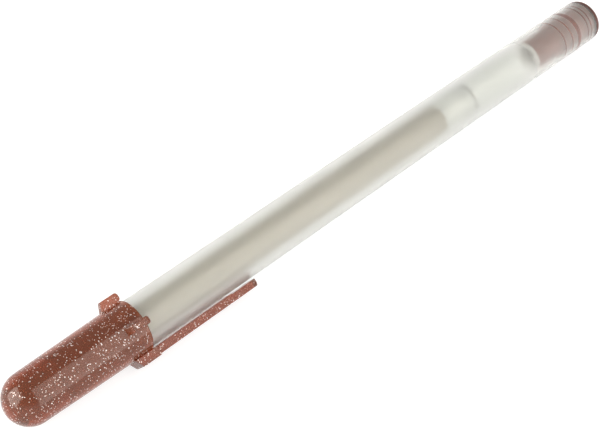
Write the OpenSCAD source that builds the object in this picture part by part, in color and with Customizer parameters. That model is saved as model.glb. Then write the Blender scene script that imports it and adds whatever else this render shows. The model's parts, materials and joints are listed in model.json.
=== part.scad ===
// Capped gel pen: a frosted tube barrel with a refill inside it, a ribbed plug in the
// rear end, and a domed cap with a side clip and roll-stop lugs round its mouth.
// The pen lies along X with its cap towards +X, and +Z is up as it lies on a table.
// The origin is the centre of the rear face. All sizes are in millimetres.

/* [Pen] */
// Length of the pen with its cap on
pen_len = 150; // [148:0.5:154]
// Outside diameter of the barrel
barrel_d = 9; // [8.9:0.05:9.1]
// Bore of the barrel
bore_d = 7; // [6.9:0.05:7.1]

/* [Cap] */
// Length of the cap from its mouth to the tip of its dome
cap_len = 26; // [25.5:0.25:28]
// Outside diameter of the cap at its mouth
cap_mouth_d = 9.8; // [9.7:0.05:10.2]
// Outside diameter of the cap where its dome starts
cap_dome_d = 9.1; // [9:0.05:9.4]
// How far the lugs stand out from the pen's axis
lug_r = 6.4; // [6.2:0.1:7]
// Width of a lug
lug_w = 1.35; // [1:0.05:2]

/* [Clip] */
// How far the clip reaches behind the cap's mouth
clip_reach = 23; // [18:0.5:30]
// Width of the clip
clip_w = 3.6; // [3:0.1:4.4]
// Thickness of the clip
clip_t = 1.45; // [1.2:0.05:1.5]
// Gap between the clip and the barrel
clip_gap = 0.15; // [0.1:0.05:0.3]

/* [Refill] */
// Outside diameter of the ink tube
tube_d = 5.8; // [5.6:0.1:6]
// Bore of the ink tube
tube_bore_d = 5; // [4.8:0.1:5.2]
// Where the ink ends, from the rear face
ink_end_x = 48; // [40:1:100]
// Diameter of the writing ball
ball_d = 0.8; // [0.7:0.05:0.9]

/* [Hidden] */
fine = 64;

// Radii
barrel_r = barrel_d / 2;
bore_r = bore_d / 2;
mouth_r = cap_mouth_d / 2;
dome_r = cap_dome_d / 2;
tube_r = tube_d / 2;
tube_bore_r = tube_bore_d / 2;
ball_r = ball_d / 2;

// Clearances: a sliding fit, a running fit, and a gap between parts that never touch
slide_fit = 0.06;
run_fit = 0.03;
face_gap = 0.05;

// Barrel: its tube steps down to a neck that the cap slides over
mouth_x = pen_len - cap_len;
shoulder_x = mouth_x + 2;
neck_len = 13;
neck_end_x = shoulder_x + neck_len;
neck_r = 3.96;
neck_bore_r = 3.15;
neck_bore_x = mouth_x + 0.5;
edge = 0.15;

// Rear plug: a flange on the barrel's end, a ribbed body, and a narrower hollow nose
flange_t = 0.9;
plug_body_r = 3.1;
plug_nose_r = 2.8;
plug_nose_x = 12.4;
plug_end_x = 19.7;
plug_hollow_r = 2.0;
plug_floor_x = 2.2;
rib_w = 0.45;
wide_rib_w = 1.2;
thin_rib_x = [2.3, 3.4, 8.8, 11.2];
wide_rib_x = 6.5;
vent_w = 0.7;

// Nose cone: a spigot pressed in the neck, a shoulder, a cone and a land the cap seals on
nose_spigot_x = neck_end_x - 6.2;
nose_collar_r = 3.9;
nose_collar_t = 0.8;
nose_cone_r = 3.3;
nose_land_r = 2.05;
nose_land_x = neck_end_x + 2.4;
nose_end_x = neck_end_x + 5.6;
nose_bore_r = 1.73;
nose_mouth_r = 1.31;
nose_mouth_x = neck_end_x + 4.6;

// Refill: an ink tube pushed on to the tip holder, which carries the metal tip
tube_start_x = 24;
tube_end_x = neck_end_x - 8;
holder_spigot_x = tube_end_x - 5;
holder_collar_t = 1.5;
holder_front_x = neck_end_x + 3.5;
holder_r = 1.7;
holder_bore_r = 0.95;
shank_r = 1.15;
shank_x = neck_end_x - 1;
follower_len = 9.5;
float_r = 1.9;
float_len = 6;
float_lead = 1.6;

// Metal tip, its ball and the spring that keeps the ball on its seat
tip_point_x = nose_end_x + 2.6;
tip_flange_r = 1.28;
tip_rim_r = 0.42;
tip_cone_x = nose_end_x + 0.1;
tip_bore_r = 0.62;
tip_feed_r = 0.3;
tip_feed_x = nose_end_x + 1.2;
tip_lip_r = 0.36;
ball_x = tip_point_x - 0.12;
spring_wire_r = 0.08;
spring_r = 0.42;
spring_turns = 6;
spring_x = shank_x + 0.4;
spring_len = 6.4;
ring_sides = 6;
rings_per_turn = 14;

// Inside of the cap: a seal ring round the nose land, and a pocket for the tip seal
cap_bore_r = neck_r + slide_fit;
cap_bore_end_x = neck_end_x + 1.6;
dome_x = pen_len - dome_r;
cap_wall = 1;
ring_x = nose_land_x + 0.5;
ring_r = 2.75;
ring_bore_r = nose_land_r + slide_fit;
ring_step_x = nose_end_x + 0.5;
ring_step_r = 1.6;
seal_x = tip_point_x + 0.4;
seal_r = 1.5;
seal_t = 1.1;
seal_lip_r = 1.3;
seal_lip_t = 0.25;

// Lugs round the mouth, and the block that the clip grows from
lug_top_len = 3.1;
lug_len = 3.95;
lug_round = 0.75;
lug_foot_r = barrel_r + 0.1;
block_r = lug_r - 0.1;
clip_in_r = barrel_r + clip_gap;
clip_out_r = clip_in_r + clip_t;
clip_mid_r = (clip_in_r + clip_out_r) / 2;
clip_root_r = clip_t / 2;
clip_root_x = mouth_x - 0.8;
clip_socket_r = clip_root_r + slide_fit;
clip_relief = 0.15;
clip_relief_len = 5.6;
clip_edge = 0.3;
clip_corner_r = 0.9;

// Angle of the clip from straight up, about the pen's axis: the pen lies on the
// outer edge of the clip's block and on the next lug, so both reach equally low
clip_angle = 180 - atan((block_r - lug_w / 2) / (lug_r - clip_w / 2));

// A solid turned about the pen's axis from [radius, x] points
module turned(profile) {
    rotate([0, 90, 0])
        rotate_extrude($fn = fine)
            polygon(profile);
}

// A round bar or bore along the pen's axis, from x1 to x2
module bar(r, x1, x2) {
    translate([x1, 0, 0])
        rotate([0, 90, 0])
            cylinder(r = r, h = x2 - x1, $fn = fine);
}

// Turns what stands straight up to an angle about the pen's axis, towards +Y
module at_angle(a) {
    rotate([-a, 0, 0])
        children();
}

// Extrudes an outline drawn as x and distance from the axis, centred on the pen
module slab(w) {
    rotate([90, 0, 0])
        linear_extrude(height = w, center = true)
            children();
}

// A rectangular bar round a radial line, with the end at x1 fully rounded
module round_ended(w, x1, x2) {
    translate([x1 + w / 2, 0, 0])
        cylinder(d = w, h = lug_r + 1, $fn = fine);
    translate([x1 + w / 2, -w / 2, 0])
        cube([x2 - x1 - w / 2, w, lug_r + 1]);
}

module barrel() color("gainsboro", 0.6)
    difference() {
        turned([[0, flange_t], [barrel_r - edge, flange_t], [barrel_r, flange_t + edge],
                [barrel_r, shoulder_x - edge], [barrel_r - edge, shoulder_x],
                [neck_r, shoulder_x], [neck_r, neck_end_x - edge],
                [neck_r - edge, neck_end_x], [0, neck_end_x]]);
        bar(bore_r, -1, neck_bore_x);
        bar(neck_bore_r, neck_bore_x - 1, neck_end_x + 1);
    }

module end_plug() color("rosybrown")
    difference() {
        union() {
            turned([[0, 0], [barrel_r - 0.35, 0], [barrel_r - 0.1, 0.25],
                    [barrel_r - 0.1, flange_t], [0, flange_t]]);
            bar(plug_body_r, flange_t - 0.1, plug_nose_x);
            turned([[0, plug_nose_x - 0.1], [plug_nose_r, plug_nose_x - 0.1],
                    [plug_nose_r, plug_end_x - 0.5], [plug_nose_r - 0.15, plug_end_x - 0.15],
                    [plug_nose_r - 0.5, plug_end_x], [0, plug_end_x]]);
            for (x = thin_rib_x)
                bar(bore_r, x - rib_w / 2, x + rib_w / 2);
            bar(bore_r, wide_rib_x - wide_rib_w / 2, wide_rib_x + wide_rib_w / 2);
        }
        bar(plug_hollow_r, plug_floor_x, plug_end_x + 1);
        vent_groove();
    }

// A groove across the ribs and under the flange lets air in as the ink is used
module vent_groove() {
    at_angle(180)
        translate([flange_t - 0.35, -vent_w / 2, plug_body_r])
            cube([plug_nose_x, vent_w, 2]);
}

module nose_cone() color("whitesmoke")
    difference() {
        turned([[0, nose_spigot_x], [neck_bore_r - 0.2, nose_spigot_x],
                [neck_bore_r, nose_spigot_x + 0.3], [neck_bore_r, neck_end_x],
                [nose_collar_r, neck_end_x], [nose_collar_r, neck_end_x + nose_collar_t],
                [nose_cone_r, neck_end_x + nose_collar_t], [nose_land_r, nose_land_x],
                [nose_land_r, nose_end_x - 0.3], [nose_land_r - 0.3, nose_end_x],
                [0, nose_end_x]]);
        bar(nose_bore_r, nose_spigot_x - 1, nose_mouth_x);
        bar(nose_mouth_r, nose_mouth_x - 1, nose_end_x + 1);
    }

module ink_tube() color("aliceblue", 0.4)
    difference() {
        bar(tube_r, tube_start_x, tube_end_x);
        bar(tube_bore_r, tube_start_x - 1, tube_end_x + 1);
    }

module ink() color("tan")
    bar(tube_bore_r, ink_end_x, holder_spigot_x);

module tip_holder() color("white")
    difference() {
        union() {
            bar(tube_bore_r, holder_spigot_x, tube_end_x);
            bar(tube_r, tube_end_x, tube_end_x + holder_collar_t);
            bar(holder_r, tube_end_x + holder_collar_t - 0.1, holder_front_x);
        }
        bar(holder_bore_r, holder_spigot_x - 1, holder_front_x);
        bar(shank_r, shank_x, holder_front_x + 1);
    }

module metal_tip() color("silver")
    difference() {
        turned([[0, shank_x], [shank_r, shank_x], [shank_r, holder_front_x],
                [tip_flange_r, holder_front_x], [tip_flange_r, holder_front_x + 0.7],
                [shank_r, holder_front_x + 1], [shank_r, tip_cone_x],
                [tip_rim_r + 0.14, tip_point_x - 0.45], [tip_rim_r, tip_point_x],
                [0, tip_point_x]]);
        bar(spring_r, shank_x - 1, shank_x + 0.2);
        bar(tip_bore_r, shank_x + 0.2, tip_feed_x);
        bar(tip_feed_r, tip_feed_x - 1, ball_x);
        translate([ball_x, 0, 0])
            sphere(r = ball_r + run_fit, $fn = fine);
    }

module tip_ball() color("dimgray")
    translate([ball_x, 0, 0])
        sphere(r = ball_r, $fn = fine);

// One ring of points of the spring's wire, at turn t from its rear end
function spring_ring(t) = [
    for (i = [0:ring_sides - 1])
        let (a = 360 * i / ring_sides, r = spring_r + spring_wire_r * (cos(a) - 1))
            [spring_x + spring_len * t / spring_turns + spring_wire_r * sin(a),
             r * sin(360 * t), r * cos(360 * t)]
];

module ball_spring() color("gray") {
    last = spring_turns * rings_per_turn;
    points = [for (k = [0:last]) each spring_ring(k / rings_per_turn)];
    sides = [for (k = [0:last - 1], i = [0:ring_sides - 1])
        let (a = k * ring_sides + i, b = k * ring_sides + (i + 1) % ring_sides)
            [a, b, b + ring_sides, a + ring_sides]];
    ends = [[for (i = [ring_sides - 1:-1:0]) i],
            [for (i = [0:ring_sides - 1]) last * ring_sides + i]];
    polyhedron(points, concat(sides, ends), convexity = 10);
}

module ink_follower() color("lightcyan", 0.5)
    difference() {
        bar(tube_bore_r - face_gap, ink_end_x - follower_len, ink_end_x);
        bar(float_r, ink_end_x - float_lead - float_len, ink_end_x - float_lead);
    }

module follower_float() color("ivory", 0.6)
    turned([[0, ink_end_x - float_lead - float_len],
            [float_r - 0.3, ink_end_x - float_lead - float_len],
            [float_r, ink_end_x - float_lead - float_len + 0.3],
            [float_r, ink_end_x - float_lead - 0.3],
            [float_r - 0.3, ink_end_x - float_lead], [0, ink_end_x - float_lead]]);

module cap_tip_seal() color("black")
    bar(seal_r, seal_x, seal_x + seal_t);

// The space inside the cap, round its seal ring
module cap_hollow() {
    bar(barrel_r + slide_fit, mouth_x - 1, shoulder_x + run_fit);
    bar(cap_bore_r, mouth_x - 1, cap_bore_end_x);
    difference() {
        union() {
            bar(dome_r - cap_wall, cap_bore_end_x - 1, dome_x);
            translate([dome_x, 0, 0])
                sphere(r = dome_r - cap_wall, $fn = fine);
        }
        bar(ring_r, ring_x, pen_len);
    }
    bar(ring_bore_r, ring_x - 1, ring_step_x);
    bar(ring_step_r, ring_step_x - 0.1, seal_x - face_gap - seal_lip_t);
    bar(seal_lip_r, ring_step_x, seal_x);
    bar(seal_r + face_gap, seal_x - face_gap, seal_x + seal_t + run_fit);
}

// A roll-stop lug: rounded behind, flat on top and sloped in front
module lug() {
    intersection() {
        slab(lug_w) {
            translate([mouth_x + 0.3, lug_r - lug_round])
                circle(r = lug_round, $fn = fine);
            polygon([[mouth_x + 0.3, lug_foot_r], [mouth_x + 0.3, lug_r],
                     [mouth_x + lug_top_len, lug_r], [mouth_x + lug_len, lug_foot_r]]);
        }
        round_ended(lug_w, mouth_x - 0.45, mouth_x + lug_len + 1);
    }
}

// The block behind which the clip hangs, with a round socket for the clip's root
module clip_block() {
    difference() {
        slab(clip_w)
            polygon([[clip_root_x, clip_in_r], [clip_root_x, block_r - 0.2],
                     [clip_root_x + 0.2, block_r], [mouth_x + lug_top_len, block_r],
                     [mouth_x + lug_len, lug_foot_r], [mouth_x, lug_foot_r],
                     [mouth_x, clip_in_r]]);
        translate([clip_root_x, 0, clip_mid_r])
            rotate([90, 0, 0])
                cylinder(r = clip_socket_r, h = clip_w + 1, center = true, $fn = fine);
    }
}

module cap_shell() color("sienna")
    difference() {
        union() {
            turned([[0, mouth_x], [mouth_r - edge / 2, mouth_x], [mouth_r, mouth_x + edge],
                    [dome_r, dome_x], [0, dome_x]]);
            translate([dome_x, 0, 0])
                sphere(r = dome_r, $fn = fine);
            for (k = [1:3])
                at_angle(clip_angle + 90 * k)
                    lug();
            at_angle(clip_angle)
                clip_block();
        }
        cap_hollow();
    }

// The clip: a flat strip with bevelled outer edges, rounded corners at its free end,
// a slightly relieved tail that guides a pocket's edge, and a round root
module cap_clip() color("sienna")
    at_angle(clip_angle) {
        tail_x = mouth_x - clip_reach;
        difference() {
            slab(clip_w)
                polygon([[tail_x, clip_in_r + clip_relief], [tail_x, clip_out_r - clip_edge],
                         [tail_x + clip_edge, clip_out_r], [clip_root_x, clip_out_r],
                         [clip_root_x, clip_in_r],
                         [tail_x + clip_relief_len, clip_in_r],
                         [tail_x + clip_relief_len, clip_in_r + clip_relief]]);
            for (side = [-1, 1]) {
                translate([0, side * clip_w / 2, clip_out_r])
                    rotate([45, 0, 0])
                        cube([2 * pen_len, clip_edge, clip_edge], center = true);
                tail_corner(side);
            }
        }
        translate([clip_root_x, 0, clip_mid_r])
            rotate([90, 0, 0])
                cylinder(r = clip_root_r, h = clip_w, center = true, $fn = fine);
    }

// What a rounded corner at the clip's free end takes away
module tail_corner(side) {
    corner_x = mouth_x - clip_reach + clip_corner_r;
    corner_y = side * (clip_w / 2 - clip_corner_r);
    difference() {
        translate([corner_x - clip_corner_r - 1, corner_y - (side < 0 ? clip_corner_r + 1 : 0),
                   barrel_r - 1])
            cube([clip_corner_r + 1, clip_corner_r + 1, lug_r]);
        translate([corner_x, corner_y, barrel_r - 2])
            cylinder(r = clip_corner_r, h = lug_r + 2, $fn = fine);
    }
}

barrel();
end_plug();
nose_cone();
ink_tube();
ink();
tip_holder();
metal_tip();
ball_spring();
tip_ball();
ink_follower();
follower_float();
cap_tip_seal();
cap_shell();
cap_clip();
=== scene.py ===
import json
import math
import random

import bmesh
import bpy
from mathutils import Matrix, Quaternion, Vector
from mathutils.bvhtree import BVHTree

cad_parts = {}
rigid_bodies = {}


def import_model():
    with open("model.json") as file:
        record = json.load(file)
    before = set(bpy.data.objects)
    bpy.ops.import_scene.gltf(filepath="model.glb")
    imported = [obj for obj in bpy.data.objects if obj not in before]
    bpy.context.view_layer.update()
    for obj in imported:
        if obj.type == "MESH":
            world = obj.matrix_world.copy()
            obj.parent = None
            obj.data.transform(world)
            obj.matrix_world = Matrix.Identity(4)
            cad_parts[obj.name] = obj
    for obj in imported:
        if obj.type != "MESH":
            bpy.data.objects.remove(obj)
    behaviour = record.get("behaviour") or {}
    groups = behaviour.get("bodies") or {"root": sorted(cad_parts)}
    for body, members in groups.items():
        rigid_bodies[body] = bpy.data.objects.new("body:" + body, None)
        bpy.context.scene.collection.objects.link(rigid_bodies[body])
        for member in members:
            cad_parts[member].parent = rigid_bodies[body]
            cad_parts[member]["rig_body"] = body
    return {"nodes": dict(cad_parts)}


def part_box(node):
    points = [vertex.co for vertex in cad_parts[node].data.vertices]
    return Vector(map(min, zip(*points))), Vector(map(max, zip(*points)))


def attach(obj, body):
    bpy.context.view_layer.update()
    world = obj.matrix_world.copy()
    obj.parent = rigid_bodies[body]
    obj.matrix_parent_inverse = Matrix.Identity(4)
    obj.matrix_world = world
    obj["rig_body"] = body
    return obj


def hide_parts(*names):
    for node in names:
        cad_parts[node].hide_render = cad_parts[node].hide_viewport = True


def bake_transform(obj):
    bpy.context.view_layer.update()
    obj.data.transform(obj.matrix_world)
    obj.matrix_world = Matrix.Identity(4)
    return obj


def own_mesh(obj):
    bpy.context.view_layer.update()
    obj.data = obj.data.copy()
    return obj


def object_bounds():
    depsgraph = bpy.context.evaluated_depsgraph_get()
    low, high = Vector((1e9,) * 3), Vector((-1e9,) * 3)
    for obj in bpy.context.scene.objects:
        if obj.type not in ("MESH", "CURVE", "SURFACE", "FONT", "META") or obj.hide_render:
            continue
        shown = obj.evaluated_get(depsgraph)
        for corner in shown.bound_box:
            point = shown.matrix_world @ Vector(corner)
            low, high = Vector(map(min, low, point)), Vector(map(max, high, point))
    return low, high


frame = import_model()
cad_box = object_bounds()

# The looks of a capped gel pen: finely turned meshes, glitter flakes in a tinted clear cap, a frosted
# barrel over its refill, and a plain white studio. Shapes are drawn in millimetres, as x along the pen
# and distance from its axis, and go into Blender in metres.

MM = 0.001


# Sizes in mm: the frame's where it gives them, otherwise those of the CAD, and a few for looks alone

def span(node):
    """Rear end, front end and greatest radius of a CAD node that is turned about the pen's axis."""
    low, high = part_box(node)
    return low.x / MM, high.x / MM, high.z / MM


RUN_FIT = 0.03               # clearance between pieces that turn or rest on each other
SLIDE_FIT = 0.06             # clearance of the cap on the barrel's neck and on the nose cone
FACE_GAP = 0.05              # gap between pieces that never touch
HAIR = 0.01                  # gap that keeps touching surfaces apart, so that each is drawn cleanly
WETTING = 0.005              # how far ink, grease and ribs reach into a wall, so no air film shows

rear_x, barrel_front, barrel_r = span("barrel")
block_x, tip_x, _ = span("cap_shell")
mouth_x = block_x + 0.8      # the clip's block overhangs the cap's mouth
bore_r = 3.5                 # bore of the barrel
neck_r = 3.96                # the barrel's front end, under the cap
neck_bore_r = 3.15
shoulder_x = mouth_x + 2
land_r = 2.05                # the nose cone's land, which the cap's ring closes on
dome_r = 4.55
dome_x = tip_x - dome_r

CLIP_ANGLE = 129.28          # from straight up towards +Y, as the pen lies on the block and a lug
CLIP_HALF = 1.8              # half the width of the clip and of its block
CLIP_LOW = 4.65              # from the axis to the inner side of both
BLOCK_R, LUG_R = 6.3, 6.4    # from the axis to the tops of the block and the lugs
FOOT_R = 4.6                 # from the axis to the lugs' feet, inside the cap's wall
LUG_W = 1.35
slope_x = mouth_x + 3.1      # where the block's and the lugs' fronts start to slope down
front_x = mouth_x + 3.95
SAG = 0.7                    # hollow of the grease's free end

# The two colours that each varies between
PLUG_BROWN = (0.23, 0.062, 0.043), (0.29, 0.083, 0.058)
# the flange's pair is darker: painted shade on the flange at the pen's rear end
SHADED_FLANGE_BROWN = (0.085, 0.027, 0.02), (0.115, 0.036, 0.027)

GLITTER_PER_MM3 = 19         # places tried in each cubic millimetre of the box round a moulding
FLAKE_RADIUS = (0.07, 0.14)  # half a flake's length
FLAKE_WIDTH = (0.35, 0.75)   # share of its length
FLAKE_THICKNESS = 0.014
FLAKE_TILT = 1.1             # greatest lean from lying flat, in radians
SKIN = 0.14                  # depth within which a flake shows bare
FADE = 0.3                   # depth over which the flakes thin out
INNER_SHARE = 0.2            # share of the flakes that are kept on the side of the bore


# Shapes

SEGMENTS = 160               # sides of a turned piece
ARC_STEPS = 5                # points on a fillet, less one
SHARP_OVER = 35              # degrees between two faces past which their edge is drawn sharp
ON_AXIS = 1e-6               # a point nearer the axis than this is a pole


def outward(place):
    """From the axis, or from the centre of the cap's dome, to a place in mm."""
    return Vector((max(place.x - dome_x, 0), place.y, place.z))


def rounded(corners):
    """Points of an outline given as (along, out, fillet) corners, with each fillet a true arc. A fillet
    takes up less than half of the shorter side next to it."""
    points = []
    for i, (x, r, fillet) in enumerate(corners):
        here = Vector((x, r))
        if not fillet:
            points.append(here)
            continue
        back = Vector(corners[i - 1][:2]) - here
        ahead = Vector(corners[(i + 1) % len(corners)][:2]) - here
        half = back.angle(ahead) / 2
        fillet = min(fillet, 0.49 * min(back.length, ahead.length) * math.tan(half))
        back.normalize()
        ahead.normalize()
        centre = here + (back + ahead).normalized() * fillet / math.sin(half)
        start = here + back * fillet / math.tan(half) - centre
        end = here + ahead * fillet / math.tan(half) - centre
        turn = start.angle(end)
        for k in range(ARC_STEPS + 1):
            share = k / ARC_STEPS
            points.append(centre + (start * math.sin((1 - share) * turn)
                                    + end * math.sin(share * turn)) / math.sin(turn))
    return points


def arc(centre_x, radius, start, end, steps=24):
    """Points on a circle centred on the axis, from one angle off the axis to another, in degrees."""
    angles = [math.radians(start + (end - start) * k / steps) for k in range(steps + 1)]
    return [(centre_x + radius * math.cos(a), radius * math.sin(a)) for a in angles]


def as_object(name, bm):
    """A new object from a bmesh, with outward normals, smooth faces and sharp edges."""
    bmesh.ops.recalc_face_normals(bm, faces=bm.faces)
    mesh = bpy.data.meshes.new(name)
    bm.to_mesh(mesh)
    bm.free()
    mesh.shade_smooth()
    mesh.set_sharp_from_angle(angle=math.radians(SHARP_OVER))
    piece = bpy.data.objects.new(name, mesh)
    bpy.context.scene.collection.objects.link(piece)
    return piece


def skin(bm, rings):
    """Quads between neighbouring rings of vertices; a ring of one vertex is a pole."""
    for a, b in zip(rings, rings[1:]):
        for k in range(max(len(a), len(b))):
            quad = [a[k % len(a)], a[(k + 1) % len(a)], b[(k + 1) % len(b)], b[k % len(b)]]
            bm.faces.new(dict.fromkeys(quad))


def turned(name, points, ring=False):
    """A solid turned about the pen's axis. With ring, its outline closes on itself, as a tube's."""
    bm = bmesh.new()
    rings = []
    for x, r in points:
        if r < ON_AXIS:
            rings.append([bm.verts.new((x * MM, 0, 0))])
            continue
        turns = [math.tau * k / SEGMENTS for k in range(SEGMENTS)]
        rings.append([bm.verts.new((x * MM, r * MM * math.sin(a), r * MM * math.cos(a)))
                      for a in turns])
    skin(bm, rings + rings[:1] if ring else rings)
    return as_object(name, bm)


def section(half, low, high, bevel, soft):
    """Outline of a bar's cross-section as (width, radius) points, its two outer edges bevelled and
    every edge softened, both by less where the bar is slight."""
    slight = min(half, high - low)
    bevel, soft = min(bevel, 0.6 * slight), min(soft, 0.3 * slight)
    return rounded([(-half, low, soft), (half, low, soft), (half, high - bevel, soft),
                    (half - bevel, high, soft), (bevel - half, high, soft),
                    (-half, high - bevel, soft)])


def lofted(name, stations, angle):
    """A bar along the pen through (x, half width, low, high, bevel, soft) stations, its outer side
    turned from straight up to an angle about the axis, towards +Y."""
    bm = bmesh.new()
    turn = Matrix.Rotation(-math.radians(angle), 3, "X")
    rings = [[bm.verts.new(turn @ Vector((x, w, r)) * MM) for w, r in section(*shape)]
             for x, *shape in stations]
    skin(bm, rings)
    for end in (rings[0], rings[-1]):
        bm.faces.new(end)
    return as_object(name, bm)


def joined(base, others, operation="UNION"):
    """base after an exact boolean with each of the others, which are used up."""
    for other in others:
        cut = base.modifiers.new(other.name, "BOOLEAN")
        cut.object, cut.operation, cut.solver = other, operation, "EXACT"
        bpy.context.view_layer.update()
        cut_base = base.evaluated_get(bpy.context.evaluated_depsgraph_get())
        solid = bpy.data.meshes.new_from_object(cut_base)
        base.modifiers.clear()
        base.data = solid
        bpy.data.objects.remove(other)
    base.data.set_sharp_from_angle(angle=math.radians(SHARP_OVER))
    return base


def coiled(name, radius, wire, start, length, turns, ends):
    """A compression spring along the axis, its first and last ends turns lying closed."""
    bm = bmesh.new()
    steps, sides = 28, 10       # in each turn, and round the wire
    pitch = (length - 4 * ends * wire - 2 * wire) / turns
    along = Vector((1, 0, 0))
    rings = []
    for k in range(int((turns + 2 * ends) * steps) + 1):
        t = k / steps
        open_turns = min(max(t - ends, 0), turns)
        closed_turns = t - open_turns
        x = start + wire + open_turns * pitch + closed_turns * 2 * wire
        a = math.tau * t
        out = Vector((0, math.sin(a), math.cos(a)))
        rings.append([bm.verts.new((Vector((x, 0, 0)) + out * radius
                                    + (out * math.cos(b) + along * math.sin(b)) * wire) * MM)
                      for b in (math.tau * i / sides for i in range(sides))])
    skin(bm, rings)
    for end in (rings[0], rings[-1]):
        bm.faces.new(end)
    return as_object(name, bm)


def flakes(name, host, per_mm3, seed):
    """Thin six-sided glitter slivers in a moulding's wall, thinning out away from the outside. Those
    nearest the outside are bare, flat in its skin, and deeper ones may lean further."""
    rng = random.Random(seed)
    tree = BVHTree.FromPolygons([v.co / MM for v in host.data.vertices],
                                [list(p.vertices) for p in host.data.polygons])
    low = Vector([min(v.co[i] for v in host.data.vertices) / MM for i in range(3)])
    size = Vector([max(v.co[i] for v in host.data.vertices) / MM for i in range(3)]) - low
    bm = bmesh.new()
    for _ in range(int(per_mm3 * size.x * size.y * size.z)):
        place = low + Vector([rng.random() * size[i] for i in range(3)])
        radius = rng.uniform(*FLAKE_RADIUS)
        wish = rng.uniform(0, FLAKE_TILT)
        spin, roll = rng.uniform(0, math.tau), rng.uniform(0, math.tau)
        keep = rng.random()
        surface, normal, _, depth = tree.find_nearest(place)
        outer = normal.dot(outward(place)) > 0
        if (place - surface).dot(normal) > 0 or (depth < 2 * FLAKE_THICKNESS and not outer):
            continue
        if keep > (math.exp(-depth / FADE) if outer else INNER_SHARE):
            continue
        if outer and depth < SKIN:
            # it lies flat, its middle a tenth of its thickness proud of the skin
            place, depth = surface + normal * FLAKE_THICKNESS * 0.1, FLAKE_THICKNESS
        tilt = min(wish, math.asin(min(1, (depth - FLAKE_THICKNESS) / radius)))
        facing = normal.to_track_quat("Z", "Y") @ Quaternion((0, 0, 1), spin)
        facing = facing @ Quaternion((1, 0, 0), tilt) @ Quaternion((0, 0, 1), roll)
        width = radius * rng.uniform(*FLAKE_WIDTH)
        corners = [(radius * math.cos(a), width * math.sin(a))
                   for a in (math.tau * k / 6 for k in range(6))]
        under, over = [[bm.verts.new((place + facing @ Vector((x, y, z))) * MM) for x, y in corners]
                       for z in (-FLAKE_THICKNESS / 2, FLAKE_THICKNESS / 2)]
        for k in range(6):
            bm.faces.new((under[k], under[(k + 1) % 6], over[(k + 1) % 6], over[k]))
        bm.faces.new(under[::-1])
        bm.faces.new(over)
    return as_object(name, bm)


# Pieces

def make_barrel():
    """The frosted tube, stepped down to the neck that the cap slides over."""
    neck_bore_x = mouth_x + 0.5
    tube = turned("barrel", rounded([
        (rear_x, bore_r, 0.1), (rear_x, barrel_r, 0.2), (shoulder_x, barrel_r, 0.2),
        (shoulder_x, neck_r, 0.1), (barrel_front, neck_r, 0.2), (barrel_front, neck_bore_r, 0.1),
        (neck_bore_x, neck_bore_r, 0.1), (neck_bore_x, bore_r, 0.1)]), ring=True)
    stand_for("barrel", tube, "frosted_tube", frosted_shell(), frosted_bore())


def make_end_plug():
    """The ribbed plug: a flange with a ring-shaped gate mark in its rear face, a body, and a hollow
    nose. The ribs press into the bore, and an air groove runs through them on the underside."""
    start, end, flange_r = span("end_plug")
    body_r, nose_r, hollow_r, rib_r = 3.1, 2.8, 2.0, bore_r + WETTING
    nose_x, floor_x, mark_x, rim = 12.4, 2.2, start + 0.18, 0.42
    thin, wide = 0.45, 1.2
    corners = [(start, 0, 0), (start, 0.55, 0.05), (mark_x, 0.65, 0.08), (mark_x, 0.95, 0.08),
               (start, 1.05, 0.05), (start, flange_r, 0.3), (rear_x, flange_r, 0.04),
               (rear_x, body_r, 0.08)]
    for rib_x, width in ((2.3, thin), (3.4, thin), (6.5, wide), (8.8, thin), (11.2, thin)):
        corners += [(rib_x - width / 2, body_r, 0.08), (rib_x - width / 2, rib_r, 0.12),
                    (rib_x + width / 2, rib_r, 0.12), (rib_x + width / 2, body_r, 0.08)]
    corners += [(nose_x, body_r, 0.15), (nose_x, nose_r, 0.1), (end, nose_r, 0.4),
                (end, hollow_r, 0.15), (floor_x, hollow_r, 0.4), (floor_x, 0, 0)]
    groove = lofted("vent", [(x, 0.35, body_r, 4, 0.05, 0.02) for x in (rear_x - 0.35, 13)], 180)
    piece = joined(turned("end_plug", rounded(corners)), [groove], "DIFFERENCE")
    plug = stand_for("end_plug", piece, "plug_plastic", plug_plastic("plug_plastic", *PLUG_BROWN))
    # the front rim and the hollow's inside are painted near-white: painted highlight, and painted light
    # in place of the hollow's shade
    plug.data.materials.append(painted_highlight_rim())
    # the flange's darker browns are painted shade
    plug.data.materials.append(plug_plastic("shaded_flange", *SHADED_FLANGE_BROWN))
    for face in plug.data.polygons:
        x, out = face.center.x / MM, math.hypot(face.center.y, face.center.z) / MM
        # faces at the front rim and inside the hollow take the painted highlight
        pale = x > end - rim or out < hollow_r + 0.1
        # the flange's faces, behind the barrel's rear end, take the painted shade
        face.material_index = 2 if x < rear_x else int(pale)


def make_nose_cone():
    """A spigot in the barrel's neck, a collar, a cone, and a land that the cap's ring closes on."""
    start, end, collar_r = span("nose_cone")
    spigot_r, cone_r, inner_r, mouth_r = neck_bore_r - HAIR, 3.3, 1.73, 1.31
    collar_x, cone_x, land_x = barrel_front + HAIR, barrel_front + 0.8, barrel_front + 2.4
    piece = turned("nose_cone", rounded([
        (start, inner_r, 0.15), (start, 2.95, 0.1), (start + 0.3, spigot_r, 0.1),
        (collar_x, spigot_r, 0.03), (collar_x, collar_r, 0.12), (cone_x, collar_r, 0.2),
        (cone_x, cone_r, 0.1), (land_x, land_r, 0.3), (end, land_r, 0.3), (end, mouth_r, 0.1),
        (end - 1, mouth_r, 0.03), (end - 1, inner_r, 0.03)]), ring=True)
    stand_for("nose_cone", piece, "natural_plastic", natural_plastic("nose_plastic"))


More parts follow.
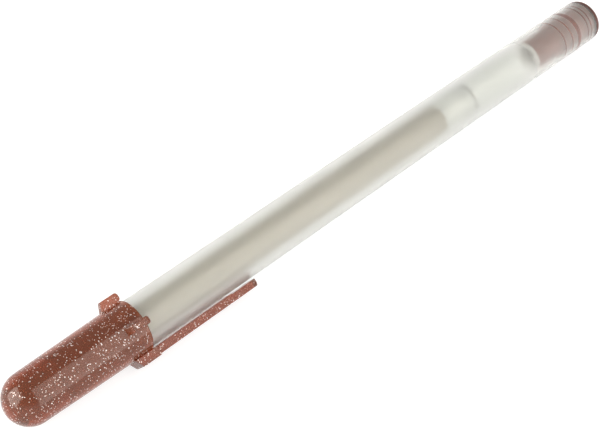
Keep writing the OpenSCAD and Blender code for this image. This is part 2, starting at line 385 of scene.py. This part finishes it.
def make_refill():
    """The ink tube, the holder pushed into its front end, and the ink."""
    tube_start, tube_end, tube_r = span("ink_tube")
    bore = span("ink")[2]
    tube = turned("ink_tube", rounded([
        (tube_start, bore, 0.08), (tube_start, tube_r, 0.12), (tube_end, tube_r, 0.12),
        (tube_end, bore, 0.08)]), ring=True)
    stand_for("ink_tube", tube, "clear_tube", clear_tube())

    start, front, _ = span("tip_holder")
    spigot_r, body_r, tip_r, ink_hole_r = bore - HAIR, 1.7, 1.15, 0.95
    collar_x, body_x, tip_rear = tube_end + HAIR, tube_end + 1.5, barrel_front - 1
    holder = turned("tip_holder", rounded([
        (start, ink_hole_r, 0.15), (start, spigot_r, 0.3), (collar_x, spigot_r, 0.03),
        (collar_x, tube_r, 0.12), (body_x, tube_r, 0.4), (body_x, body_r, 0.25),
        (front, body_r, 0.25), (front, tip_r, 0.05), (tip_rear, tip_r, 0.03),
        (tip_rear, ink_hole_r, 0.03)]), ring=True)
    stand_for("tip_holder", holder, "natural_plastic", natural_plastic("holder_plastic"))

    ink_start, ink_end, _ = span("ink")
    wet = bore + WETTING
    ink = turned("ink", [(ink_start, 0), (ink_start, wet), (ink_end - HAIR, wet), (ink_end - HAIR, 0)])
    stand_for("ink", ink, "ink_gel", ink_gel())
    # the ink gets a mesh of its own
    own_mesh(ink)


def make_follower():
    """The grease, which climbs the wall at its free rear end, with the float and a bubble in it."""
    start, end, _ = span("ink_follower")
    wet = span("ink")[2] + WETTING
    float_start, float_end, float_r = span("follower_float")
    turns = [math.pi / 2 * k / 16 for k in range(17)]
    rear = [(start + SAG - SAG * (1 - math.cos(a)) ** 2, wet * math.sin(a)) for a in turns]
    gel = turned("ink_follower", rear + [(end + WETTING, wet), (end + WETTING, 0)])
    cavity = turned("cavity", float_outline(float_start, float_end, float_r, WETTING))
    bubble = turned("bubble", arc(0, 0.3, 180, 0, 12))
    bubble.data.transform(Matrix.Translation(Vector((end - 2.1, 0.3, 2.05)) * MM))
    grease = joined(gel, [cavity, bubble], "DIFFERENCE")
    stand_for("ink_follower", grease, "follower_gel", follower_gel())
    stem = turned("follower_float", float_outline(float_start, float_end, float_r, 0))
    stand_for("follower_float", stem, "natural_plastic", float_plastic())


def float_outline(start, end, r, inset):
    """The float's outline, hollowed at its front, or one that lies inside it by an inset."""
    rear, front, floor_x = start + inset, end - inset, end - 1.2 - inset
    return rounded([(rear, 0, 0), (rear, r - inset, 0.35), (front, r - inset, 0.35),
                    (front, 0.8, 0.1), (floor_x, 0.7, 0.2), (floor_x, 0, 0)])


def make_tip():
    """The metal tip, the ball that its lip holds, and the spring behind the ball."""
    start, point, flange_r = span("metal_tip")
    ball_start, ball_end, ball_r = span("tip_ball")
    ball_x = (ball_start + ball_end) / 2
    seat_r, feed_r, inner_r, inlet_r, shank_r = ball_r + RUN_FIT, 0.3, 0.62, 0.42, 1.15
    flange_x, cone_x, feed_x, inlet_x = barrel_front + 3.5, barrel_front + 5.7, point - 1.4, start + 0.2
    seat = arc(ball_x, seat_r, 180 - math.degrees(math.asin(feed_r / seat_r)),
               math.degrees(math.acos((point - ball_x) / seat_r)), 12)
    outside = rounded([(start, inlet_r, 0.04), (start, shank_r, 0.15), (flange_x, shank_r, 0.02),
                       (flange_x, flange_r, 0.08), (flange_x + 0.7, flange_r, 0.05),
                       (flange_x + 1, shank_r, 0.05), (cone_x, shank_r, 0.1),
                       (point - 0.45, 0.56, 0.1), (point, 0.43, 0)])
    inside = rounded([(feed_x, feed_r, 0.03), (feed_x, inner_r, 0.05), (inlet_x, inner_r, 0.03),
                      (inlet_x, inlet_r, 0.02)])
    tip = turned("metal_tip", outside + [Vector(p) for p in seat[::-1]] + inside, ring=True)
    stand_for("metal_tip", tip, "tip_metal", turned_metal())

    ball = turned("tip_ball", arc(ball_x, ball_r, 180, 0, 32))
    stand_for("tip_ball", ball, "ball_metal", ball_carbide())

    spring_start, spring_end, _ = span("ball_spring")
    spring = coiled("ball_spring", radius=0.42, wire=0.08, start=spring_start,
                    length=spring_end - spring_start, turns=6, ends=1.5)
    stand_for("ball_spring", spring, "spring_steel", spring_wire())


def make_tip_seal():
    """The rubber disc in the cap's end, dished where the ball rests against it."""
    start, end, r = span("cap_tip_seal")
    dish_x = start + 0.12
    seal = turned("cap_tip_seal", rounded([
        (dish_x, 0, 0), (dish_x, 0.25, 0.1), (start, 0.5, 0.1), (start, r, 0.2), (end, r, 0.2),
        (end, 0, 0)]))
    stand_for("cap_tip_seal", seal, "seal_rubber", seal_rubber())


def lug(name, angle):
    """A roll-stop lug: a rounded nose behind the mouth, a flat top and a sloped front."""
    round_x, round_r, mid_r = mouth_x + 0.3, 0.75, LUG_R - 0.75
    edges = 0.12, 0.1           # bevel and softening
    steps = 12
    stations = []
    for k in range(1, steps + 1):
        a = math.pi / 2 * k / steps
        x = round_x - round_r * math.cos(a)
        plan = min(x - (round_x - round_r), LUG_W / 2)
        half = math.sqrt(LUG_W * plan - plan * plan)
        low = mid_r - round_r * math.sin(a) if k < steps else FOOT_R
        stations.append((x, half, low, mid_r + round_r * math.sin(a), *edges))
    shares = (0.25, 0.5, 0.75, 0.97, 1.03)
    for x in [round_x + (slope_x - round_x) * share for share in shares] + [front_x - 0.1]:
        stations.append((x, LUG_W / 2, FOOT_R, top_at(x, LUG_R), *edges))
    return lofted(name, stations, angle)


def top_at(x, top):
    """Top of a lug or of the block at x, which falls to their feet along the sloped front."""
    return top - (top - FOOT_R) * min(max((x - slope_x) / (front_x - slope_x), 0), 1)


def clip_block():
    """The block behind which the clip hangs, its rear edges rounded."""
    edges = 0.1, 0.08           # bevel and softening
    stations = [(block_x + back, CLIP_HALF - side, CLIP_LOW, BLOCK_R - fall, *edges)
                for back, side, fall in ((0, 0.1, 0.2), (0.06, 0.03, 0.08), (0.2, 0, 0))]
    for x in (mouth_x, mouth_x + 1, mouth_x + 2, slope_x - 0.08, slope_x + 0.08, front_x - 0.1):
        stations.append((x, CLIP_HALF, CLIP_LOW, top_at(x, BLOCK_R), *edges))
    return lofted("block", stations, CLIP_ANGLE)


def make_cap():
    """The domed shell with its lugs, the clip's block, the seal's pocket, and the ring that closes on
    the nose cone's land. Its bore widens in a cone to pass the barrel's shoulder."""
    mouth_r, inner_r, ring_r, ring_bore = 4.9, dome_r - 1, 2.75, land_r + SLIDE_FIT
    bore, mouth_bore, chamber_r, lip_r = neck_r + SLIDE_FIT, 4.56, 1.6, 1.3
    seal_start, seal_end, seal_r = span("cap_tip_seal")
    floor_x, lip_x, chamber_x = seal_end + RUN_FIT, seal_start - FACE_GAP, seal_start - 0.3
    pocket_r = seal_r + FACE_GAP
    ring_x, ring_end, bore_end = barrel_front + 2.9, barrel_front + 6.1, barrel_front + 1.6
    ring_front = math.degrees(math.asin(ring_r / inner_r))
    inside = [(floor_x, 0, 0), (floor_x, pocket_r, 0.05), (lip_x, pocket_r, 0.03), (lip_x, lip_r, 0.03),
              (chamber_x, lip_r, 0.03), (chamber_x, chamber_r, 0.1), (ring_end, chamber_r, 0.1),
              (ring_end, ring_bore, 0.1), (ring_x, ring_bore, 0.2), (ring_x, ring_r, 0.2)]
    inside += [(x, r, 0) for x, r in arc(dome_x, inner_r, ring_front, 90, 16)]
    inside += [(bore_end, inner_r, 0.05), (bore_end, bore, 0.15), (shoulder_x + 1.4, bore, 2),
               (shoulder_x + RUN_FIT, barrel_r, 0.3), (shoulder_x, mouth_bore, 0.05),
               (mouth_x, mouth_bore, 0.08)]
    outside = [(mouth_x, mouth_r, 0.12)] + [(x, r, 0) for x, r in arc(dome_x, dome_r, 90, 0, 40)]
    shell = turned("cap", rounded(inside + outside))
    parts = [lug(f"lug_{k}", CLIP_ANGLE + 90 * k) for k in (1, 2, 3)] + [clip_block()]
    cap = stand_for("cap_shell", joined(shell, parts), "cap_plastic", cap_plastic())
    dress(flakes("cap_glitter", cap, GLITTER_PER_MM3, seed=7), None, glitter(), body="cap")


def make_clip():
    """The clip: a flat strip with bevelled outer edges and a rounded tail that is relieved inside. Its
    root sits against the block."""
    tail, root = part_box("cap_clip")[0].x / MM, block_x - HAIR
    high, corner, bevel = 6.1, 0.9, 0.3
    relief, relief_end, relief_slope = 0.15, 5.75, 0.3
    # places along it, closest together where its outline turns
    from_tail = [0, 0.03, 0.08, 0.15, 0.3, 0.45, 0.6, 0.75, corner]
    from_tail += [1.5 + 0.5 * k for k in range(8)] + [5.45, 5.6, relief_end]
    from_tail += [6 + 0.5 * k for k in range(32)] + [root - tail]
    stations = []
    for d in from_tail:
        narrow = corner - math.sqrt(corner ** 2 - max(corner - d, 0) ** 2)
        step = relief * min(max((relief_end - d) / relief_slope, 0), 1)
        stations.append((tail + d, CLIP_HALF - narrow, CLIP_LOW + step, high - max(bevel - d, 0),
                         bevel, 0.07))
    strip = lofted("clip", stations, CLIP_ANGLE)
    clip = dress(strip, "cap_plastic", cap_plastic(), node="cap_clip")
    glints = dress(flakes("clip_glitter", clip, GLITTER_PER_MM3, seed=11), None, glitter())
    for piece in (clip, glints):
        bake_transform(piece)


def dress(piece, slot, *materials, node=None, body=None):
    """Gives a piece its materials, the CAD node that it replaces and the body that it rides with, where
    it has them; slot is not used. Of two materials, the second is for the faces that look inwards."""
    for material in materials:
        piece.data.materials.append(material)
    if len(materials) == 2:
        for face in piece.data.polygons:
            face.material_index = int(face.normal.dot(outward(face.center / MM)) < -1e-3)
    if node:
        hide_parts(node)
        piece.name = piece.data.name = f"{node}_fine"
    if body:
        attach(piece, body)
    return piece


def stand_for(node, piece, slot, *materials):
    """Puts a finished piece in the place of a CAD node, on the same body."""
    return dress(piece, slot, *materials, node=node, body=frame["nodes"][node]["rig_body"])


# Materials

def principled(name, values):
    """A new node material whose Principled shader has these values."""
    material = bpy.data.materials.new(name)
    material.use_nodes = True
    shader = material.node_tree.nodes["Principled BSDF"]
    for socket, value in values.items():
        shader.inputs[socket].default_value = value
    return material, material.node_tree, shader


def noise(tree, size, detail=2.0, stretch=1.0):
    """Noise with features of a size in mm, drawn out along the pen by stretch."""
    place = tree.nodes.new("ShaderNodeTexCoord")
    scale = tree.nodes.new("ShaderNodeMapping")
    scale.inputs["Scale"].default_value = (1 / stretch, 1, 1)
    texture = tree.nodes.new("ShaderNodeTexNoise")
    texture.inputs["Scale"].default_value = 1 / (size * MM)
    texture.inputs["Detail"].default_value = detail
    tree.links.new(place.outputs["Object"], scale.inputs["Vector"])
    tree.links.new(scale.outputs["Vector"], texture.inputs["Vector"])
    return texture.outputs["Fac"]


def spread(tree, source, low, high, start=0.3, end=0.7):
    """Maps source from between start and end to between low and high. Noise is mostly 0.3 to 0.7."""
    change = tree.nodes.new("ShaderNodeMapRange")
    change.inputs["From Min"].default_value = start
    change.inputs["From Max"].default_value = end
    change.inputs["To Min"].default_value = low
    change.inputs["To Max"].default_value = high
    tree.links.new(source, change.inputs["Value"])
    return change.outputs["Result"]


def roughened(tree, shader, source, low, high):
    """Roughness that varies between two values."""
    tree.links.new(spread(tree, source, low, high), shader.inputs["Roughness"])


def bumpy(tree, shader, height, depth):
    """Relief of a depth in mm."""
    bump = tree.nodes.new("ShaderNodeBump")
    bump.inputs["Distance"].default_value = depth * MM
    tree.links.new(height, bump.inputs["Height"])
    tree.links.new(bump.outputs["Normal"], shader.inputs["Normal"])


def tinted(tree, shader, source, low, high):
    """A base colour that varies between two colours."""
    mix = tree.nodes.new("ShaderNodeMix")
    mix.data_type = "RGBA"
    mix.inputs["A"].default_value = (*low, 1)
    mix.inputs["B"].default_value = (*high, 1)
    tree.links.new(spread(tree, source, 0, 1), mix.inputs["Factor"])
    tree.links.new(mix.outputs["Result"], shader.inputs["Base Color"])


def frosted_shell():
    """Spark-eroded frosting on clear polypropylene, finer over the plug, with faint flow marks."""
    material, tree, shader = principled("frosted_shell", {"Transmission Weight": 0.92, "IOR": 1.49})
    tinted(tree, shader, noise(tree, 6, 3, 3), (0.95, 0.955, 0.915), (0.98, 0.98, 0.945))
    place = tree.nodes.new("ShaderNodeTexCoord")
    parts = tree.nodes.new("ShaderNodeSeparateXYZ")
    total = tree.nodes.new("ShaderNodeMath")
    tree.links.new(place.outputs["Object"], parts.inputs["Vector"])
    plug_end = span("end_plug")[1]
    frosting = spread(tree, parts.outputs["X"], 0.2, 0.29, (plug_end + 1) * MM, (plug_end + 3) * MM)
    marks = spread(tree, noise(tree, 3, 4, 4), 0, 0.05)
    tree.links.new(frosting, total.inputs[0])
    tree.links.new(marks, total.inputs[1])
    tree.links.new(total.outputs["Value"], shader.inputs["Roughness"])
    bumpy(tree, shader, noise(tree, 0.09, 2), 0.0012)
    return material


def frosted_bore():
    """The barrel's bore, hazier than the outside and drawn out by the core pin."""
    material, tree, shader = principled("frosted_bore", {"Transmission Weight": 0.86, "IOR": 1.49})
    tinted(tree, shader, noise(tree, 4, 3, 6), (0.955, 0.965, 0.95), (0.98, 0.985, 0.97))
    roughened(tree, shader, noise(tree, 1.5, 3, 12), 0.28, 0.34)
    return material


def cap_plastic():
    """Translucent red-brown styrene, with a polished and slightly uneven skin."""
    material, tree, shader = principled("cap_plastic", {"Transmission Weight": 0.76, "IOR": 1.49})
    tinted(tree, shader, noise(tree, 3, 3), (0.40, 0.118, 0.05), (0.48, 0.148, 0.066))
    roughened(tree, shader, noise(tree, 1.2, 4), 0.09, 0.17)
    bumpy(tree, shader, noise(tree, 0.8, 2), 0.006)
    tint = tree.nodes.new("ShaderNodeVolumeAbsorption")
    tint.inputs["Color"].default_value = (0.788, 0.346, 0.077, 1)
    tint.inputs["Density"].default_value = 700
    tree.links.new(tint.outputs["Volume"], tree.nodes["Material Output"].inputs["Volume"])
    return material


def glitter():
    """Aluminised polyester flakes, silver with a hint of rose and gold."""
    material, tree, shader = principled("glitter", {"Metallic": 0.35, "Roughness": 0.35})
    each = tree.nodes.new("ShaderNodeNewGeometry").outputs["Random Per Island"]
    tinted(tree, shader, each, (0.60, 0.46, 0.41), (0.97, 0.92, 0.89))
    return material


def plug_plastic(name, low, high):
    """Red-brown polyethylene with a fine matt skin, its colour between two."""
    material, tree, shader = principled(name, {
        "IOR": 1.5, "Subsurface Weight": 0.05, "Subsurface Radius": (0.0006, 0.0003, 0.0002)})
    tinted(tree, shader, noise(tree, 2.5, 3), low, high)
    roughened(tree, shader, noise(tree, 0.6, 3), 0.45, 0.6)
    bumpy(tree, shader, noise(tree, 0.12, 2), 0.002)
    return material


def painted_highlight_rim():
    """The plug's front rim, near-white as a painted highlight where light catches it, and the inside
    of its hollow nose, as pale, painted light in place of the shade in the hollow."""
    material, tree, shader = principled("painted_highlight_rim", {"IOR": 1.5})
    tinted(tree, shader, noise(tree, 0.8, 3), (0.86, 0.85, 0.83), (0.95, 0.94, 0.93))
    roughened(tree, shader, noise(tree, 0.3, 3), 0.3, 0.45)
    return material


def natural_plastic(name):
    """Uncoloured polypropylene: milky, waxy, with faint flow marks."""
    material, tree, shader = principled(name, {
        "IOR": 1.49, "Subsurface Weight": 0.2, "Subsurface Radius": (0.0006, 0.0006, 0.0005)})
    tinted(tree, shader, noise(tree, 2, 3), (0.50, 0.50, 0.465), (0.58, 0.58, 0.545))
    roughened(tree, shader, noise(tree, 0.5, 3, 3), 0.3, 0.45)
    bumpy(tree, shader, noise(tree, 0.25, 2), 0.002)
    return material


def float_plastic():
    """Uncoloured polypropylene again, thin enough here to see through."""
    material, tree, shader = principled("float_plastic", {"Transmission Weight": 1, "IOR": 1.47})
    tinted(tree, shader, noise(tree, 2, 3), (0.98, 0.98, 0.975), (0.995, 0.995, 0.99))
    roughened(tree, shader, noise(tree, 0.5, 3, 3), 0.08, 0.2)
    bumpy(tree, shader, noise(tree, 0.25, 2), 0.002)
    return material


def clear_tube():
    """Extruded clear polypropylene with long, shallow draw lines."""
    material, tree, shader = principled("clear_tube", {
        "Base Color": (0.97, 0.98, 0.965, 1), "Transmission Weight": 1, "IOR": 1.49})
    roughened(tree, shader, noise(tree, 0.5, 3, 40), 0.03, 0.1)
    bumpy(tree, shader, noise(tree, 0.6, 2, 60), 0.004)
    return material


def ink_gel():
    """Pearl gel ink: a tan body with fine bright pigment, streaked as it was drawn along the tube."""
    material, tree, shader = principled("ink_gel", {"Metallic": 0.1, "IOR": 1.4})
    tinted(tree, shader, noise(tree, 0.7, 4, 8), (0.80, 0.735, 0.62), (0.89, 0.82, 0.695))
    roughened(tree, shader, noise(tree, 0.2, 3, 2), 0.45, 0.65)
    bumpy(tree, shader, noise(tree, 0.08, 2), 0.003)
    return material


def follower_gel():
    """Clear grease with a few hazy streaks."""
    material, tree, shader = principled("follower_gel", {
        "Base Color": (0.995, 0.995, 0.99, 1), "Transmission Weight": 1, "IOR": 1.46})
    roughened(tree, shader, noise(tree, 1.2, 3, 2), 0.02, 0.1)
    bumpy(tree, shader, noise(tree, 1.5, 2), 0.01)
    return material


def turned_metal():
    """Nickel silver with fine turning lines round the axis."""
    material, tree, shader = principled("turned_metal", {"Metallic": 1})
    tinted(tree, shader, noise(tree, 0.3, 3), (0.66, 0.61, 0.52), (0.74, 0.69, 0.60))
    lines = noise(tree, 0.03, 2, 0.02)      # squeezed along the pen
    roughened(tree, shader, lines, 0.16, 0.34)
    bumpy(tree, shader, lines, 0.0008)
    return material


def ball_carbide():
    """Lapped tungsten carbide: grey, bright, with a trace of micro pits that carry ink."""
    material, tree, shader = principled("ball_carbide", {"Metallic": 1})
    tinted(tree, shader, noise(tree, 0.02, 3), (0.36, 0.36, 0.38), (0.5, 0.5, 0.52))
    roughened(tree, shader, noise(tree, 0.03, 3), 0.12, 0.3)
    return material


def spring_wire():
    """Drawn stainless wire with die lines."""
    material, tree, shader = principled("spring_wire", {"Metallic": 1})
    tinted(tree, shader, noise(tree, 0.1, 3), (0.5, 0.5, 0.5), (0.62, 0.62, 0.61))
    roughened(tree, shader, noise(tree, 0.05, 2), 0.2, 0.35)
    return material


def seal_rubber():
    """Pale elastomer with a fine dusty bloom."""
    material, tree, shader = principled("seal_rubber", {"IOR": 1.5, "Sheen Weight": 0.15})
    tinted(tree, shader, noise(tree, 0.3, 4), (0.50, 0.46, 0.42), (0.60, 0.56, 0.51))
    roughened(tree, shader, noise(tree, 0.2, 3), 0.6, 0.85)
    bumpy(tree, shader, noise(tree, 0.06, 2), 0.004)
    return material


# Studio

def add_camera():
    """Looks down at the pen from in front of its cap, on the clip's side, as the photo does."""
    aim, distance = Vector((93.27, -7.28, 0)) * MM, 0.2274
    azimuth, elevation, roll = math.radians(137.633), math.radians(43.289), math.radians(-1.513)
    back = Vector((math.sin(azimuth) * math.cos(elevation), -math.cos(azimuth) * math.cos(elevation),
                   math.sin(elevation)))
    data = bpy.data.cameras.new("camera")
    data.sensor_width = 36
    data.lens = 75.86
    data.shift_x = 0.1
    data.clip_start = 0.01
    camera = bpy.data.objects.new("camera", data)
    camera.location = aim + back * distance
    camera.rotation_mode = "QUATERNION"
    camera.rotation_quaternion = back.to_track_quat("Z", "Y") @ Quaternion((0, 0, 1), roll)
    bpy.context.scene.collection.objects.link(camera)
    bpy.context.scene.camera = camera


def add_floor():
    """A white light table just under the pen, bright enough of its own that it shows no edges."""
    bm = bmesh.new()
    bmesh.ops.create_grid(bm, x_segments=1, y_segments=1, size=3)
    floor = as_object("floor", bm)
    floor.location.z = cad_box[0].z - HAIR * MM
    material, _, _ = principled("light_table", {
        "Base Color": (0.35, 0.35, 0.35, 1), "Roughness": 0.9, "Emission Color": (1, 1, 1, 1),
        "Emission Strength": 0.8})
    floor.data.materials.append(material)


def softbox(name, centre, towards, width, height, power):
    """A warm rectangular area light that faces a place."""
    data = bpy.data.lights.new(name, "AREA")
    data.shape, data.size, data.size_y, data.energy = "RECTANGLE", width, height, power
    data.color = (1, 0.95, 0.88)
    light = bpy.data.objects.new(name, data)
    light.location = centre
    light.rotation_mode = "QUATERNION"
    light.rotation_quaternion = (Vector(centre) - Vector(towards)).to_track_quat("Z", "Y")
    light.visible_camera = False
    bpy.context.scene.collection.objects.link(light)


def add_light():
    """A tall softbox on the clip's side, one in front of the cap, and a pale surround that darkens
    overhead."""
    softbox("long_softbox", (-0.16, 0.48, 0.36), (-0.16, 0, 0), width=0.51, height=0.9, power=3)
    softbox("front_softbox", (0.65, -0.19, 0.30), (0.145, 0, 0), width=0.66, height=0.6, power=5)
    world = bpy.data.worlds.new("surround")
    world.use_nodes = True
    tree = world.node_tree
    direction = tree.nodes.new("ShaderNodeTexCoord")
    parts = tree.nodes.new("ShaderNodeSeparateXYZ")
    fade = tree.nodes.new("ShaderNodeMapRange")
    fade.interpolation_type = "SMOOTHSTEP"
    for socket, value in (("From Min", 0.1), ("From Max", 0.5), ("To Min", 1.15), ("To Max", 0.46)):
        fade.inputs[socket].default_value = value
    tree.links.new(direction.outputs["Generated"], parts.inputs["Vector"])
    tree.links.new(parts.outputs["Z"], fade.inputs["Value"])
    tree.links.new(fade.outputs["Result"], tree.nodes["Background"].inputs["Strength"])
    tree.nodes["Background"].inputs["Color"].default_value = (1, 1, 1, 1)
    bpy.context.scene.world = world


def set_up_light_paths():
    """Enough bounces for light that crosses up to a dozen walls on its way out of the refill, and a
    plain tone curve."""
    scene = bpy.context.scene
    scene.cycles.max_bounces = scene.cycles.transmission_bounces = 32
    scene.cycles.glossy_bounces = scene.cycles.diffuse_bounces = 12
    scene.view_settings.view_transform = "Standard"


add_camera()
add_floor()
add_light()
set_up_light_paths()
make_barrel()
make_end_plug()
make_nose_cone()
make_refill()
make_follower()
make_tip()
make_tip_seal()
make_cap()
make_clip()
